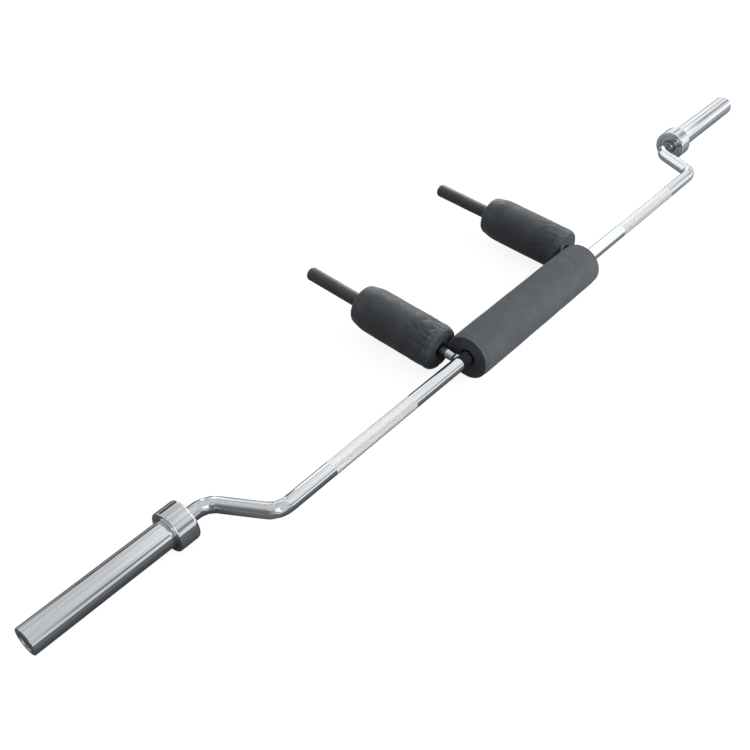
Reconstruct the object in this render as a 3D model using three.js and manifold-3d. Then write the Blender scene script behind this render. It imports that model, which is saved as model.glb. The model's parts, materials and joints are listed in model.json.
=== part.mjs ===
// Safety squat bar: a cranked steel shaft with a padded middle, two padded forward arms with hand grips,
// and a plate sleeve that spins on each end.
// Millimetres, +Z up, X along the bar, +Y the way the arms point. It rests on its centre pad and both collars.
// The origin is on the floor, under the middle of the whole bar.

import * as THREE from 'three';
import { mergeVertices, toCreasedNormals } from 'three/addons/utils/BufferGeometryUtils.js';
import Module from 'manifold-3d';

// Fits shared by all pieces
const fitGap = 0.3;
const overrun = 5;
const mergeDistance = 0.0001;

// Shaft, from the middle of the bar outwards
const shaftDiameter = 28.6;
const middleRun = 715;
const crankRun = 61;
const crankOffset = 112;
const stubRun = 43;
const bendRadius = 40;

// Journals that the sleeves spin on
const journalDiameter = 25.4;
const grooveDiameter = 22.6;
const journalNose = 4;
const journalChamfer = 1.5;

// Sleeves and collars
const collarDiameter = 75;
const collarLength = 40;
const collarEdge = 3;
const sleeveDiameter = 50;
const sleeveLength = 266;
const sleeveBore = 34;
const sleeveChamfer = 2.5;
const sleeveInset = 0.8;
const bushingLength = 40;
const washerThickness = 2.4;
const retainingRingThickness = 2;
const retainingRingDiameter = 30.4;
const retainingRingMouth = 9;
const capThickness = 6;
const capInset = 1;
const capChamfer = 1.2;

// Forward arms
const armSpacing = 442;
const armRodDiameter = 19.5;
const armRise = THREE.MathUtils.degToRad(7.9);
const weldLeg = 3.6;
const weldEdge = 0.5;

// Centre pad, pressed flat where it rests
const centrePadDiameter = 95.4;
const centrePadEndGap = 5;
const centrePadBore = 38;
const centrePadTubeSetback = 16;
const centrePadRim = 4.5;
const centrePadDish = 3;
const centrePadFlat = 1.5;
const coverThickness = 3;

// Arm pads
const armPadDiameter = 94;
const armPadLength = 204;
const armPadGap = 0.8;
const armPadTubeSetback = 12;
const armPadNose = 30;
const armPadHeel = 11;
const armPadCrown = 0.6;
const pleatDepth = 1.4;
const pleatLength = 46;

// Hand grips
const gripDiameter = 28.6;
const gripTipDiameter = 29.2;
const gripLength = 148;
const gripTuck = 14;
const gripTipRound = 7;
const gripEndWall = 7;

// How finely round things are faceted
const shaftSides = 24;
const bendSteps = 7;
const sleeveSides = 40;
const bushingSides = 24;
const ringArcSteps = 10;
const collarEdgeSteps = 2;
const padRimSteps = 3;
const gripTipSteps = 4;
const padSides = 40;
const foamSides = 24;
const gripSides = 24;
const pleatCount = 10;

// Sizes worked out from the ones above
const shaftRadius = shaftDiameter / 2;
const journalRadius = journalDiameter / 2;
const collarRadius = collarDiameter / 2;
const sleeveRadius = sleeveDiameter / 2;
const sleeveBoreRadius = sleeveBore / 2;
const armRodRadius = armRodDiameter / 2;
const centrePadRadius = centrePadDiameter / 2;
const centrePadBoreRadius = centrePadBore / 2;
const armPadRadius = armPadDiameter / 2;
const gripRadius = gripDiameter / 2;
const centrePadHalf = armSpacing / 2 - armRodRadius - centrePadEndGap;
const collarFace = middleRun + crankRun + stubRun;
const sleeveEnd = collarLength + sleeveLength;
const armPadStart = centrePadRadius + armPadGap;
const armPadEnd = armPadStart + armPadLength;
const gripEnd = armPadEnd + gripLength;
const innerTubeRadius = gripRadius;
const padBoreRadius = innerTubeRadius + fitGap;

// At rest the pressed side of the centre pad and both collars touch the floor
const sleeveFall = Math.asin((centrePadRadius - centrePadFlat - collarRadius) / crankOffset);
const armTilt = armRise - sleeveFall;

// Places along a sleeve, from the collar's inner face
const shoulder = sleeveInset;
const innerWasherStart = shoulder + fitGap;
const innerBushingStart = innerWasherStart + washerThickness + fitGap;
const capEnd = sleeveEnd - capInset;
const capStart = capEnd - capThickness;
const journalEnd = capStart - journalNose;
const grooveEnd = journalEnd - journalNose;
const grooveStart = grooveEnd - retainingRingThickness - 2 * fitGap;
const outerWasherStart = grooveStart - washerThickness;
const outerBushingStart = outerWasherStart - fitGap - bushingLength;

// Finishes
const chrome = { color: 0xc4c8cc, roughness: 0.12, metalness: 1 };
const rawSteel = { color: 0x8d9196, roughness: 0.4, metalness: 1 };
const bronze = { color: 0x9c7440, roughness: 0.45, metalness: 1 };
const centreVinyl = { color: 0x5b6065, roughness: 0.75, metalness: 0 };
const armVinyl = { color: 0x3b3f43, roughness: 0.65, metalness: 0 };
const foam = { color: 0x232427, roughness: 0.95, metalness: 0 };
const rubber = { color: 0x34373a, roughness: 0.7, metalness: 0 };
const hardPlastic = { color: 0x17181a, roughness: 0.5, metalness: 0 };

const wasm = await Module();
wasm.setup();

// One closed skin: only positions, shared corners merged and no collapsed triangles
function welded(geometry) {
  const bare = geometry.clone();
  bare.deleteAttribute('normal');
  bare.deleteAttribute('uv');
  const merged = mergeVertices(bare, mergeDistance);
  const corners = merged.index.array;
  const kept = [];
  for (let i = 0; i < corners.length; i += 3) {
    const [a, b, c] = corners.slice(i, i + 3);
    if (a !== b && b !== c && c !== a) {
      kept.push(a, b, c);
    }
  }
  merged.setIndex(kept);
  return merged;
}

function toSolid(geometry) {
  const skin = welded(geometry);
  return new wasm.Manifold(new wasm.Mesh({
    numProp: 3,
    vertProperties: new Float32Array(skin.attributes.position.array),
    triVerts: new Uint32Array(skin.index.array),
  }));
}

function toGeometry(solid) {
  const skin = solid.getMesh();
  const geometry = new THREE.BufferGeometry();
  geometry.setAttribute('position', new THREE.BufferAttribute(skin.vertProperties, 3));
  geometry.setIndex(new THREE.BufferAttribute(skin.triVerts, 1));
  return geometry;
}

function joined(first, ...others) {
  let solid = toSolid(first);
  for (const other of others) {
    solid = solid.add(toSolid(other));
  }
  return toGeometry(solid);
}

function cut(body, ...tools) {
  let solid = toSolid(body);
  for (const tool of tools) {
    solid = solid.subtract(toSolid(tool));
  }
  return toGeometry(solid);
}

// Turned round the X axis from [along, radius] points, listed up the outside and back down the bore
function turned(profile, sides) {
  const points = profile.map(([along, radius]) => new THREE.Vector2(radius, along));
  const geometry = new THREE.LatheGeometry(points, sides);
  geometry.rotateZ(-Math.PI / 2);
  return welded(geometry);
}

function tube(start, end, outerRadius, boreRadius, sides) {
  const profile = [
    [start, boreRadius],
    [start, outerRadius],
    [end, outerRadius],
    [end, boreRadius],
    [start, boreRadius],
  ];
  return turned(profile, sides);
}

function rod(start, end, radius, sides) {
  return turned([[start, 0], [start, radius], [end, radius], [end, 0]], sides);
}

// A rounded corner as [along, radius] points, from one angle to another about its own centre
function roundCorner(centreAlong, centreRadius, size, fromAngle, toAngle, steps) {
  const points = [];
  for (let i = 0; i <= steps; i += 1) {
    const angle = fromAngle + ((toAngle - fromAngle) * i) / steps;
    points.push([centreAlong + size * Math.cos(angle), centreRadius + size * Math.sin(angle)]);
  }
  return points;
}

function place(group, name, geometry, finish) {
  const shaded = toCreasedNormals(geometry, Math.PI / 6);
  const mesh = new THREE.Mesh(shaded, new THREE.MeshStandardMaterial(finish));
  mesh.name = name;
  group.add(mesh);
  return mesh;
}

// The shaft's centreline: straight, bent, straight, bent and straight again on each side
class CrankedLine extends THREE.Curve {
  constructor() {
    super();
    const half = this.halfStations();
    const mirrored = half.map(({ point, heading }) => ({
      point: new THREE.Vector3(-point.x, point.y, 0),
      heading: new THREE.Vector3(heading.x, -heading.y, 0),
    }));
    this.stations = [...mirrored.reverse(), ...half];
  }

  halfStations() {
    const slope = Math.atan2(crankOffset, crankRun);
    const tangentLength = bendRadius * Math.tan(slope / 2);
    const firstBendStart = middleRun - tangentLength;
    const secondBendEnd = middleRun + crankRun + tangentLength;
    const stations = [];
    for (let i = 0; i <= bendSteps; i += 1) {
      const angle = (slope * i) / bendSteps;
      stations.push({
        point: new THREE.Vector3(
          firstBendStart + bendRadius * Math.sin(angle),
          bendRadius * (1 - Math.cos(angle)),
          0,
        ),
        heading: new THREE.Vector3(Math.cos(angle), Math.sin(angle), 0),
      });
    }
    for (let i = bendSteps; i >= 0; i -= 1) {
      const angle = (slope * i) / bendSteps;
      stations.push({
        point: new THREE.Vector3(
          secondBendEnd - bendRadius * Math.sin(angle),
          crankOffset - bendRadius * (1 - Math.cos(angle)),
          0,
        ),
        heading: new THREE.Vector3(Math.cos(angle), Math.sin(angle), 0),
      });
    }
    stations.push({
      point: new THREE.Vector3(collarFace + shoulder, crankOffset, 0),
      heading: new THREE.Vector3(1, 0, 0),
    });
    return stations;
  }

  nearest(share) {
    return this.stations[Math.round(share * (this.stations.length - 1))];
  }

  getPoint(share) {
    return this.nearest(share).point.clone();
  }

  getPointAt(share) {
    return this.getPoint(share);
  }

  getTangent(share) {
    return this.nearest(share).heading.clone();
  }

  getTangentAt(share) {
    return this.getTangent(share);
  }
}

function roundSection(radius, sides) {
  const points = [];
  for (let i = 0; i < sides; i += 1) {
    const angle = (2 * Math.PI * i) / sides;
    points.push(new THREE.Vector2(radius * Math.cos(angle), radius * Math.sin(angle)));
  }
  return new THREE.Shape(points);
}

// Turned journal with a groove for the retaining ring and a chamfered nose
function journal() {
  const rootInShaft = shoulder - overrun;
  return turned([
    [rootInShaft, 0],
    [rootInShaft, journalRadius],
    [grooveStart, journalRadius],
    [grooveStart, grooveDiameter / 2],
    [grooveEnd, grooveDiameter / 2],
    [grooveEnd, journalRadius],
    [journalEnd - journalChamfer, journalRadius],
    [journalEnd, journalRadius - journalChamfer],
    [journalEnd, 0],
  ], shaftSides);
}

function shaft() {
  const line = new CrankedLine();
  const bent = new THREE.ExtrudeGeometry(roundSection(shaftRadius, shaftSides), {
    steps: line.stations.length - 1,
    extrudePath: line,
  });
  const rightJournal = journal();
  rightJournal.translate(collarFace, crankOffset, 0);
  const leftJournal = journal();
  leftJournal.rotateZ(Math.PI);
  leftJournal.translate(-collarFace, crankOffset, 0);
  return joined(bent, rightJournal, leftJournal);
}

function sleeve() {
  return turned([
    [sleeveInset, sleeveBoreRadius],
    [sleeveInset, sleeveRadius],
    [sleeveEnd - sleeveChamfer, sleeveRadius],
    [sleeveEnd, sleeveRadius - sleeveChamfer],
    [sleeveEnd, sleeveBoreRadius],
    [sleeveInset, sleeveBoreRadius],
  ], sleeveSides);
}

function collar() {
  const bore = sleeveRadius + fitGap;
  const edgeCentre = collarRadius - collarEdge;
  return turned([
    [0, bore],
    ...roundCorner(collarEdge, edgeCentre, collarEdge, Math.PI, Math.PI / 2, collarEdgeSteps),
    ...roundCorner(collarLength - collarEdge, edgeCentre, collarEdge, Math.PI / 2, 0, collarEdgeSteps),
    [collarLength, bore],
    [0, bore],
  ], sleeveSides);
}

function bushing(start) {
  return tube(start, start + bushingLength, sleeveBoreRadius - fitGap, journalRadius + fitGap, bushingSides);
}

function washer(start) {
  return tube(start, start + washerThickness, sleeveBoreRadius - fitGap, journalRadius + fitGap, bushingSides);
}

// A flat ring with an open mouth, sprung into the journal's groove
function retainingRing() {
  const outer = retainingRingDiameter / 2;
  const inner = grooveDiameter / 2 + fitGap;
  const outerMouth = Math.asin(retainingRingMouth / 2 / outer);
  const innerMouth = Math.asin(retainingRingMouth / 2 / inner);
  const shape = new THREE.Shape();
  shape.absarc(0, 0, outer, outerMouth, 2 * Math.PI - outerMouth, false);
  shape.absarc(0, 0, inner, 2 * Math.PI - innerMouth, innerMouth, true);
  const geometry = new THREE.ExtrudeGeometry(shape, {
    depth: retainingRingThickness,
    bevelEnabled: false,
    curveSegments: ringArcSteps,
  });
  geometry.rotateY(Math.PI / 2);
  geometry.translate(grooveStart + fitGap, 0, 0);
  return welded(geometry);
}

function endCap() {
  const radius = sleeveBoreRadius - fitGap;
  return turned([
    [capStart, 0],
    [capStart, radius],
    [capEnd - capChamfer, radius],
    [capEnd, radius - capChamfer],
    [capEnd, 0],
  ], bushingSides);
}

function buildSleeve(parent, side, turn) {
  const assembly = new THREE.Group();
  assembly.position.set(turn === 0 ? collarFace : -collarFace, crankOffset, 0);
  assembly.rotation.z = turn;
  place(assembly, `${side}_sleeve`, sleeve(), chrome);
  place(assembly, `${side}_collar`, collar(), chrome);
  place(assembly, `${side}_inner_bushing`, bushing(innerBushingStart), bronze);
  place(assembly, `${side}_outer_bushing`, bushing(outerBushingStart), bronze);
  place(assembly, `${side}_inner_washer`, washer(innerWasherStart), rawSteel);
  place(assembly, `${side}_outer_washer`, washer(outerWasherStart), rawSteel);
  place(assembly, `${side}_retaining_ring`, retainingRing(), rawSteel);
  place(assembly, `${side}_end_cap`, endCap(), chrome);
  parent.add(assembly);
}

// The shaft as a cutter across an arm, which runs along X in its own group
function shaftAcrossArm() {
  const across = rod(-armPadStart, armPadStart, shaftRadius + fitGap, shaftSides);
  across.rotateZ(Math.PI / 2);
  return across;
}

function armRod() {
  const tip = gripEnd - gripEndWall;
  return cut(rod(0, tip, armRodRadius, shaftSides), shaftAcrossArm());
}

// A fillet of weld metal round the rod's foot, saddled on the shaft
function weldBead() {
  const foot = armRodRadius + weldLeg;
  const top = shaftRadius + weldLeg;
  const bead = turned([
    [0, 0],
    [0, foot],
    [shaftRadius, foot],
    [top, armRodRadius + weldEdge],
    [top, 0],
  ], shaftSides);
  const rodRoom = rod(-overrun, top + overrun, armRodRadius + fitGap, shaftSides);
  return cut(bead, shaftAcrossArm(), rodRoom);
}

// A pad's outline goes from one bore's edge, over the outside, to the other's
function centrePadOutline() {
  const rimCentre = centrePadRadius - centrePadRim;
  const endFace = centrePadHalf - centrePadDish;
  const rim = roundCorner(centrePadHalf - centrePadRim, rimCentre, centrePadRim, 0, Math.PI / 2, padRimSteps);
  const half = [[endFace, centrePadBoreRadius], [endFace, rimCentre - centrePadRim], ...rim];
  const farSide = half.map(([along, radius]) => [-along, radius]);
  return [...farSide, ...half.reverse()];
}

function centrePadInside() {
  const end = centrePadHalf - centrePadDish - coverThickness;
  const radius = centrePadRadius - coverThickness;
  return [[-end, centrePadBoreRadius], [-end, radius], [end, radius], [end, centrePadBoreRadius]];
}

function armPadOutline() {
  const heelShares = [[0, 0.76], [0.1, 0.88], [0.28, 0.945], [0.6, 0.99], [1, 1]];
  const noseShares = [[1, 1], [0.6, 0.975], [0.2, 0.9], [0.06, 0.86], [0, 0.76]];
  const heel = heelShares.map(([alongShare, radiusShare]) => [
    armPadStart + alongShare * armPadHeel,
    radiusShare * armPadRadius,
  ]);
  const nose = noseShares.map(([alongShare, radiusShare]) => [
    armPadEnd - alongShare * armPadNose,
    radiusShare * armPadRadius,
  ]);
  const gathers = [armPadStart + pleatLength, armPadRadius + armPadCrown / 2];
  const crown = [(armPadStart + armPadEnd) / 2, armPadRadius + armPadCrown];
  return [[armPadStart, padBoreRadius], ...heel, gathers, crown, ...nose, [armPadEnd, padBoreRadius]];
}

// The same outline drawn in all round, down to the bore
function drawnIn(outline, inset, boreRadius) {
  const first = outline[0][0];
  const last = outline[outline.length - 1][0];
  const middle = (first + last) / 2;
  const squeeze = 1 - (2 * inset) / (last - first);
  return outline.map(([along, radius]) => [
    middle + (along - middle) * squeeze,
    Math.max(boreRadius, radius - inset),
  ]);
}

function bodyOf(outline) {
  const first = outline[0][0];
  const last = outline[outline.length - 1][0];
  return turned([[first, 0], ...outline, [last, 0]], padSides);
}

// A skin lies on its foam and turns in at both ends to the bore
function skin(outside, insideOutline, boreRadius) {
  const first = insideOutline[0][0] - coverThickness - overrun;
  const last = insideOutline[insideOutline.length - 1][0] + coverThickness + overrun;
  return cut(outside, bodyOf(insideOutline), rod(first, last, boreRadius, padSides));
}

function foamCore(insideOutline, boreRadius) {
  const profile = drawnIn(insideOutline, fitGap, boreRadius);
  return turned([...profile, profile[0]], foamSides);
}

// The underside that carries the bar is pressed flat
function pressed(geometry, floorLevel) {
  const places = geometry.attributes.position;
  for (let i = 0; i < places.count; i += 1) {
    places.setZ(i, Math.max(places.getZ(i), floorLevel));
  }
  return geometry;
}

// The skin is gathered round the heel in shallow pleats that fade towards the crown
function pleated(geometry) {
  const places = geometry.attributes.position;
  const fadeEnd = armPadStart + pleatLength;
  for (let i = 0; i < places.count; i += 1) {
    const along = places.getX(i);
    const radius = Math.hypot(places.getY(i), places.getZ(i));
    if (radius > armPadRadius / 2 && along < fadeEnd) {
      const fade = (fadeEnd - along) / pleatLength;
      const angle = Math.atan2(places.getZ(i), places.getY(i));
      const drop = pleatDepth * fade * (0.5 + 0.5 * Math.cos(pleatCount * angle));
      const shrink = (radius - drop) / radius;
      places.setY(i, places.getY(i) * shrink);
      places.setZ(i, places.getZ(i) * shrink);
    }
  }
  return geometry;
}

function buildCentrePad(parent) {
  const outside = pressed(bodyOf(centrePadOutline()), centrePadFlat - centrePadRadius);
  const inside = centrePadInside();
  const tubeHalf = centrePadHalf - centrePadTubeSetback;
  const tubeRadius = centrePadBoreRadius - fitGap;
  place(parent, 'centre_pad_cover', skin(outside, inside, centrePadBoreRadius), centreVinyl);
  place(parent, 'centre_pad_foam', foamCore(inside, centrePadBoreRadius), foam);
  place(
    parent,
    'centre_pad_inner_tube',
    tube(-tubeHalf, tubeHalf, tubeRadius, shaftRadius + fitGap, bushingSides),
    hardPlastic,
  );
}

// A closed rubber tube pushed over the rod, a little thicker towards its tip
function handGrip() {
  const bore = armRodRadius + fitGap;
  const boreEnd = gripEnd - gripEndWall + fitGap;
  const start = armPadEnd - gripTuck;
  const tipRadius = gripTipDiameter / 2;
  const tipCentre = gripEnd - gripTipRound;
  const tipEdge = tipRadius - gripTipRound;
  return turned([
    [boreEnd, 0],
    [boreEnd, bore],
    [start, bore],
    [start, gripRadius],
    [armPadEnd, gripRadius],
    ...roundCorner(tipCentre, tipEdge, gripTipRound, Math.PI / 2, 0, gripTipSteps),
    [gripEnd, 0],
  ], gripSides);
}

function buildArm(parent, side, across) {
  const arm = new THREE.Group();
  arm.position.x = across;
  arm.rotation.z = Math.PI / 2;
  const outline = armPadOutline();
  const inside = drawnIn(outline, coverThickness, padBoreRadius);
  const tubeStart = armPadStart + armPadTubeSetback;
  const tubeEnd = armPadEnd - gripTuck - fitGap;
  place(arm, `${side}_arm_rod`, armRod(), chrome);
  place(arm, `${side}_arm_weld`, weldBead(), rawSteel);
  place(arm, `${side}_arm_pad_cover`, skin(pleated(bodyOf(outline)), inside, padBoreRadius), armVinyl);
  place(arm, `${side}_arm_pad_foam`, foamCore(inside, padBoreRadius), foam);
  place(
    arm,
    `${side}_arm_pad_inner_tube`,
    tube(tubeStart, tubeEnd, innerTubeRadius, armRodRadius + fitGap, bushingSides),
    hardPlastic,
  );
  place(arm, `${side}_hand_grip`, handGrip(), rubber);
  parent.add(arm);
}

const cranked = new THREE.Group();
cranked.rotation.x = -sleeveFall;
place(cranked, 'shaft', shaft(), chrome);
buildSleeve(cranked, 'left', Math.PI);
buildSleeve(cranked, 'right', 0);

const arms = new THREE.Group();
arms.rotation.x = armTilt;
buildArm(arms, 'left', -armSpacing / 2);
buildArm(arms, 'right', armSpacing / 2);

const bar = new THREE.Group();
bar.name = 'safety_squat_bar';
bar.add(cranked, arms);
buildCentrePad(bar);

// Stand it on the floor with the origin under its middle
const extent = new THREE.Box3().setFromObject(bar, true);
const middle = extent.getCenter(new THREE.Vector3());
bar.position.set(-middle.x, -middle.y, -extent.min.z);

export default bar;
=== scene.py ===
# Safety squat bar: its looks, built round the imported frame
# X runs along the bar, Y the way the arms point, Z up. The pieces' sizes are in millimetres, the camera's and
# the studio's in metres.
import json
from functools import partial
from math import asin, atan2, copysign, cos, dist, exp, hypot, pi, radians, sin, sqrt, tan, tau

import bmesh
import bpy
from mathutils import Matrix, Vector, noise

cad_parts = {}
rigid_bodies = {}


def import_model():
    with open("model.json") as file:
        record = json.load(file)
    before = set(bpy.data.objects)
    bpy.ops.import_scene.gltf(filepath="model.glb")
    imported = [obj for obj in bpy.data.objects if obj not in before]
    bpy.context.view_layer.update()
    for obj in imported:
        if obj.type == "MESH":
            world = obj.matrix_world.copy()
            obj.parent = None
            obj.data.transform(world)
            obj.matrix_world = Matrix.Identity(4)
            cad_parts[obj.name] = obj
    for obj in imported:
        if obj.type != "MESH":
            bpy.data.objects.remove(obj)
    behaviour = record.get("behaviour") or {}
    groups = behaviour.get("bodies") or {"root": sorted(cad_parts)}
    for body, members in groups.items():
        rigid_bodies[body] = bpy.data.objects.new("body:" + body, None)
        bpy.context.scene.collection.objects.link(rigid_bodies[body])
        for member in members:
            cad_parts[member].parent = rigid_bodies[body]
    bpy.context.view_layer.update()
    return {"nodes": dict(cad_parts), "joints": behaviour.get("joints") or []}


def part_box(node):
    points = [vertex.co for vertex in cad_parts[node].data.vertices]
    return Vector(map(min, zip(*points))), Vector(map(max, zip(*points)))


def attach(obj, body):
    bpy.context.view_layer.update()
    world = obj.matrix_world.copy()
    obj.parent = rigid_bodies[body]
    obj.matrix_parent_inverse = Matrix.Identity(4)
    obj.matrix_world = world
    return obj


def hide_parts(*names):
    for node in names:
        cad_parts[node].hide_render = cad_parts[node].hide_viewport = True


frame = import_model()
mm = 0.001
noise.seed_set(11)  # so that the folds come out the same every time
print("frame loaded:", len(frame["nodes"]), "nodes")


# Camera

camera = {
    "place": (-1.38854, -0.97473, 1.25592),  # in front of the bar, past its near end
    "turn": (48.5095, 0.3426, -49.1756),  # degrees
    "lens": 46.361,
    "reach": 50,
}


def addObject(name, data):
    made = bpy.data.objects.new(name, data)
    bpy.context.scene.collection.objects.link(made)
    return made


def addCamera():
    data = bpy.data.cameras.new("camera")
    data.lens = camera["lens"]
    data.clip_end = camera["reach"]
    seen = addObject("camera", data)
    seen.location = camera["place"]
    seen.rotation_euler = [radians(angle) for angle in camera["turn"]]
    bpy.context.scene.camera = seen


addCamera()
bpy.context.scene.view_settings.view_transform = "Standard"


# Where things lie, read from the frame

padLow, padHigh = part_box("centre_pad_cover")
padRadius = (padHigh.y - padLow.y) / 2 / mm
barAxis = Vector((0, (padLow.y + padHigh.y) / 2, padHigh.z - padRadius * mm))
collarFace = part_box("right_collar")[0].x
sleeveAxis = Vector(frame["joints"][0]["pos_m"])
crank = Vector((0, sleeveAxis.y - barAxis.y, sleeveAxis.z - barAxis.z))
crankTilt = atan2(crank.z, crank.y)
armRise = radians(7.9)  # of the arms above the plane of the cranks
armAcross = (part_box("right_hand_grip")[0].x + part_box("right_hand_grip")[1].x) / 2

toward = {"left": -1, "right": 1}  # along X
crankedPlace = Matrix.Translation(barAxis) @ Matrix.Rotation(crankTilt, 4, "X")


def sleevePlace(side):
    turn = 0 if side == "right" else pi
    spot = Matrix.Translation((collarFace * toward[side], sleeveAxis.y, sleeveAxis.z))
    return spot @ Matrix.Rotation(crankTilt, 4, "X") @ Matrix.Rotation(turn, 4, "Z")


def armPlace(side):
    spot = Matrix.Translation(barAxis + Vector((armAcross * toward[side], 0, 0)))
    return spot @ Matrix.Rotation(armRise + crankTilt, 4, "X") @ Matrix.Rotation(pi / 2, 4, "Z")


# a node's two ends along its sleeve, in millimetres from the collar's inner face
def endsOnSleeve(node):
    return sorted((abs(corner.x) - collarFace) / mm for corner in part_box(node))


# Materials

# sRGB hex to the linear colour that the shaders take
def linear(hexColour):
    channels = [int(hexColour[i:i + 2], 16) / 255 for i in (1, 3, 5)]
    return [c / 12.92 if c <= 0.04045 else ((c + 0.055) / 1.055) ** 2.4 for c in channels] + [1]


# sets a node's inputs, each to a value, a hex colour, an output, or another node's first output
def feed(node, inputs):
    for name, value in inputs.items():
        if isinstance(value, bpy.types.Node):
            value = value.outputs[0]
        if isinstance(value, bpy.types.NodeSocket):
            node.id_data.links.new(value, node.inputs[name])
        else:
            node.inputs[name].default_value = linear(value) if isinstance(value, str) else value


def setAll(thing, settings):
    for name, value in settings.items():
        setattr(thing, name, value)


def addNode(tree, kind, inputs, **settings):
    node = tree.nodes.new("ShaderNode" + kind)
    setAll(node, settings)
    feed(node, inputs)
    return node


# a material, its shader, what adds nodes to it, and where each point of the object is
def startMaterial(name, fixed):
    material = bpy.data.materials.new(name)
    material.use_nodes = True
    add = partial(addNode, material.node_tree)
    shader = material.node_tree.nodes["Principled BSDF"]
    feed(shader, fixed)
    return material, shader, add, add("TexCoord", {}).outputs["Object"]


# Chromium plate on polished steel: a hard cool mirror, its faint polishing lines running along the bar.
# They are drawn coarser than real ones, which would be too fine to show.
chromeLook = {
    "clear": "#dadde0", "deep": "#c3c7cb",
    "sharpest": 0.012, "haziest": 0.055, "hazePatch": 55,
    "ripple": 9, "rippleHeight": 0.01, "line": 2.2, "lineRun": 260,
}


def chromePlate(name, look):
    material, shader, add, where = startMaterial(name, {"Metallic": 1.0})
    haze = add("TexNoise", {"Vector": where, "Scale": 1 / (look["hazePatch"] * mm), "Detail": 5.0})
    across, along = 1 / (look["line"] * mm), 1 / (look["lineRun"] * mm)
    drawn = add("Mapping", {"Vector": where, "Scale": (along, across, across)})
    lines = add("TexNoise", {"Vector": drawn, "Scale": 1.0, "Detail": 3.0, "Roughness": 0.6})
    bright = add("MapRange", {"Value": lines, "From Min": 0.3, "From Max": 0.6})
    tone = add("Mix", {0: bright, 6: look["deep"], 7: look["clear"]}, data_type="RGBA")
    both = add("Math", {0: haze, 1: lines}, operation="MULTIPLY")
    rough = add("MapRange", {
        "Value": both, "From Min": 0.1, "From Max": 0.45,
        "To Min": look["sharpest"], "To Max": look["haziest"],
    })
    ripple = add("TexNoise", {"Vector": where, "Scale": 1 / (look["ripple"] * mm)})
    bump = add("Bump", {"Height": ripple, "Distance": look["rippleHeight"] * mm})
    feed(shader, {"Base Color": tone.outputs[2], "Roughness": rough, "Normal": bump})
    return material


# Knurled steel under the same plate: its cut points scatter light, so it reads as frosted silver,
# almost white
knurlLook = dict(chromeLook, clear="#fbfcfc", deep="#eceeef", sharpest=0.32, haziest=0.46, ripple=1.2)

# The sleeves are ground along their length and buffed, which leaves a softer mirror with plainer lines in it
sleeveLook = dict(
    chromeLook, clear="#dfe1e4", deep="#b0b5ba", sharpest=0.02, haziest=0.065, hazePatch=40, line=2.8,
)


# Turned mild steel, left bare and oiled: grey, with the tool's rings showing
steelLook = {
    "pale": "#9a9ea2", "dark": "#74787c", "ring": 0.35, "ringHeight": 0.02, "roughness": (0.28, 0.5),
    "round": 30,  # cells per metre across the axis, so few that each line runs on round the piece
}

# Sintered bronze, soaked in oil: dull brown-gold with fine pores
bronzeLook = dict(
    steelLook, pale="#a8794a", dark="#7c5632", ring=0.6, ringHeight=0.015, roughness=(0.35, 0.6),
)


def turnedMetal(name, look):
    material, shader, add, where = startMaterial(name, {"Metallic": 1.0})
    along, across = 1 / (look["ring"] * mm), look["round"]
    rings = add("Mapping", {"Vector": where, "Scale": (along, across, across)})
    cut = add("TexNoise", {"Vector": rings, "Scale": 1.0, "Detail": 4.0})
    tone = add("Mix", {0: cut, 6: look["dark"], 7: look["pale"]}, data_type="RGBA")
    rough = add("MapRange", {
        "Value": cut, "From Min": 0.3, "From Max": 0.7,
        "To Min": look["roughness"][0], "To Max": look["roughness"][1],
    })
    bump = add("Bump", {"Height": cut, "Distance": look["ringHeight"] * mm})
    feed(shader, {"Base Color": tone.outputs[2], "Roughness": rough, "Normal": bump})
    return material


# Vinyl-coated cloth, embossed with a fine pebble grain: matt, with a low sheen
padLook = {
    "body": "#5b6064", "wearAndHighlight": "#696e73", "hollowShade": "#484c50",
    "patch": 38, "grain": 1.3, "grainHeight": 0.09, "crease": 9, "creaseHeight": 0.12,
    "roughness": (0.58, 0.78), "sheen": 0.12,
}
# the arm pads' cover is darker and smoother, with more sheen
armPadLook = dict(
    padLook, body="#43474b", wearAndHighlight="#555a5e", hollowShade="#34373b", crease=12, roughness=(0.42, 0.68), sheen=0.3,
)
# the end faces are painted darker: partly a darker end vinyl, partly painted shade on faces turned from the
# light
endDiscLook = dict(padLook, body="#4a4c51", wearAndHighlight="#595b60", hollowShade="#36373b")
# the sewn ridge round them and the heels' hems are painted pale in small patches: painted highlight
weltLook = dict(padLook, body="#5f6468", wearAndHighlight="#797e82", hollowShade="#4c5054", patch=9)
hemLook = dict(armPadLook, body="#4e5357", wearAndHighlight="#70767b", patch=7, crease=4, creaseHeight=0.35, sheen=0.45)


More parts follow.
